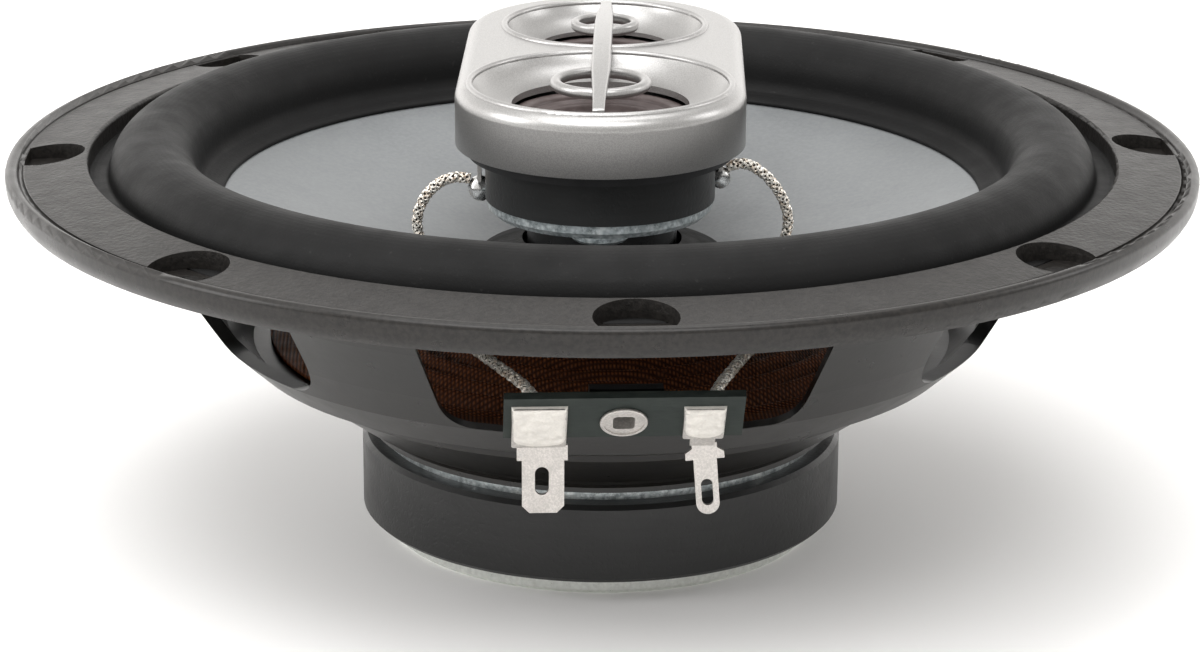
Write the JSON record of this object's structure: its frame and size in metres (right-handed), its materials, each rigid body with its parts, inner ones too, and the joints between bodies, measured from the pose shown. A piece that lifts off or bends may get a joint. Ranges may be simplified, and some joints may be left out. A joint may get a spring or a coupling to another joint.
{
  "type": "coaxial car speaker",
  "caption": "Flush-mount coaxial car loudspeaker: round steel basket, woofer cone with rubber surround and a pedestal pod holding two small drivers over it.",
  "frame": {"origin": "on the speaker axis at the rear face of the mounting flange, at the centre of the screw hole circle", "axes": "+Z out of the front of the speaker; the terminal board is on the -Y side"},
  "size_m": [0.1658, 0.1658, 0.0718],
  "materials": {
    "basket_paint": "semi-gloss black powder coat on stamped steel",
    "trim_plastic": "dark warm grey moulded plastic, fine texture",
    "surround_rubber": "charcoal rubber, satin",
    "spider_cloth": "phenolic-treated woven cloth, corrugated",
    "cone_polymer": "silver-grey metallised polymer cone, satin",
    "collar_cloth": "black glued felt collar",
    "former_film": "black polyimide film",
    "coil_copper": null,
    "zinc_plate": "bright zinc-plated steel",
    "ferrite": "charcoal ferrite, ground faces",
    "steel_fastener": "plated steel rivets and bolt",
    "pedestal_plastic": "black moulded plastic",
    "pod_silver": "silver metallic plastic, satin",
    "housing_plastic": "dark grey moulded plastic",
    "capacitor_sleeve": "dark blue shrink sleeve, no print",
    "diaphragm_film": "mauve-brown formed polymer film, satin",
    "board_fibre": "dark green-grey pressed fibre board",
    "tinned_brass": "tin-plated brass",
    "lead_braid": "braided tinsel wire, tinned copper"
  },
  "bodies": {
    "frame": {"basket": "basket_paint", "trim_ring": "trim_plastic", "surround": "surround_rubber", "spider": "spider_cloth", "top_plate": "zinc_plate", "magnet": "ferrite", "yoke": "zinc_plate", "basket_rivets": "steel_fastener", "pedestal": "pedestal_plastic", "pedestal_bolt": "steel_fastener", "pod_housing": "pod_silver", "pod_rear_housing": "housing_plastic", "midrange_capacitor": "capacitor_sleeve", "tweeter_capacitor": "capacitor_sleeve", "phase_bridge": "pod_silver", "midrange_top_plate": "zinc_plate", "midrange_magnet": "ferrite", "midrange_yoke": "zinc_plate", "tweeter_top_plate": "zinc_plate", "tweeter_magnet": "ferrite", "tweeter_yoke": "zinc_plate", "terminal_board": "board_fibre", "board_eyelet": "tinned_brass", "terminal_positive": "tinned_brass", "terminal_negative": "tinned_brass", "solder_lug_left": "tinned_brass", "solder_lug_right": "tinned_brass", "front_lead_left": "lead_braid", "front_lead_right": "lead_braid", "rear_lead_left": "lead_braid", "rear_lead_right": "lead_braid"},
    "woofer_cone": {"cone": "cone_polymer", "dust_collar": "collar_cloth", "voice_coil_former": "former_film", "voice_coil_winding": "coil_copper", "cone_eyelets": "tinned_brass"},
    "midrange_cone": {"midrange_diaphragm": "diaphragm_film", "midrange_voice_coil": "coil_copper"},
    "tweeter_dome": {"tweeter_diaphragm": "diaphragm_film", "tweeter_voice_coil": "coil_copper"}
  },
  "joints": [
    {"name": "woofer_travel", "type": "slide", "parent": "frame", "child": "woofer_cone", "axis": [0, 0, 1], "range_m": [-0.004, 0.004], "stiffness_N_per_m": 1500, "deforming": ["surround", "spider", "front_lead_left", "front_lead_right", "rear_lead_left", "rear_lead_right"]},
    {"name": "midrange_travel", "type": "slide", "parent": "frame", "child": "midrange_cone", "axis": [0, 0, 1], "range_m": [-0.0004, 0.0004], "stiffness_N_per_m": 400},
    {"name": "tweeter_travel", "type": "slide", "parent": "frame", "child": "tweeter_dome", "axis": [0, 0, 1], "range_m": [-0.0002, 0.0002], "stiffness_N_per_m": 400}
  ]
}
